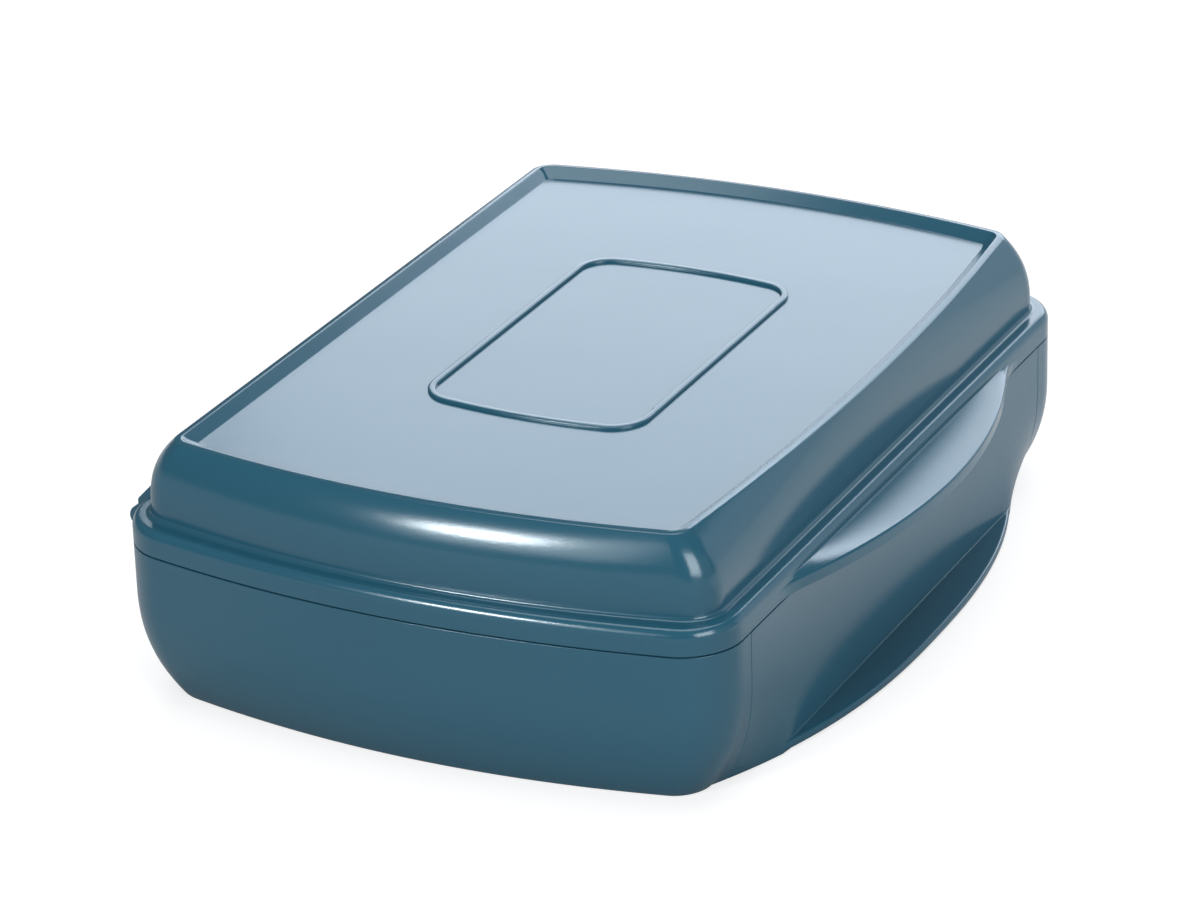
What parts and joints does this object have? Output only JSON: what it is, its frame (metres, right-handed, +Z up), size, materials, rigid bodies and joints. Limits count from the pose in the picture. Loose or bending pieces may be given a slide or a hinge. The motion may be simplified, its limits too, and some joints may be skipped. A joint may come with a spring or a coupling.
{
  "type": "fly box",
  "caption": "Hinged moulded fly box with a deep base, a recessed lid panel, grip tongues, slit mats, a rim seal and magnet closure.",
  "frame": {"origin": "middle of the flat underside of the base, on the surface that the box stands on", "axes": "+Z up, +Y along the length of the box, +X towards the grips, -X towards the hinge"},
  "size_m": [0.1097, 0.142, 0.0411],
  "materials": {
    "base_plastic": "satin moulded plastic, fine even texture",
    "lid_plastic": "satin moulded plastic, fine even texture",
    "seal_rubber": "matte",
    "pin_steel": "drawn wire",
    "mat_silicone": "soft translucent silicone, matte",
    "magnet_nickel": "nickel plate"
  },
  "bodies": {
    "base": {"base_shell": "base_plastic", "rim_seal": "seal_rubber", "base_mat": "mat_silicone", "base_magnet_near": "magnet_nickel", "base_magnet_far": "magnet_nickel"},
    "lid": {"lid_shell": "lid_plastic", "hinge_pin_near": "pin_steel", "hinge_pin_far": "pin_steel", "lid_mat": "mat_silicone", "lid_magnet_near": "magnet_nickel", "lid_magnet_far": "magnet_nickel"}
  },
  "joints": [
    {"name": "lid_hinge", "type": "hinge", "parent": "base", "child": "lid", "pos_m": [-0.0509, 0, 0.02485], "axis": [0, -1, 0], "range_deg": [0, 180]}
  ]
}
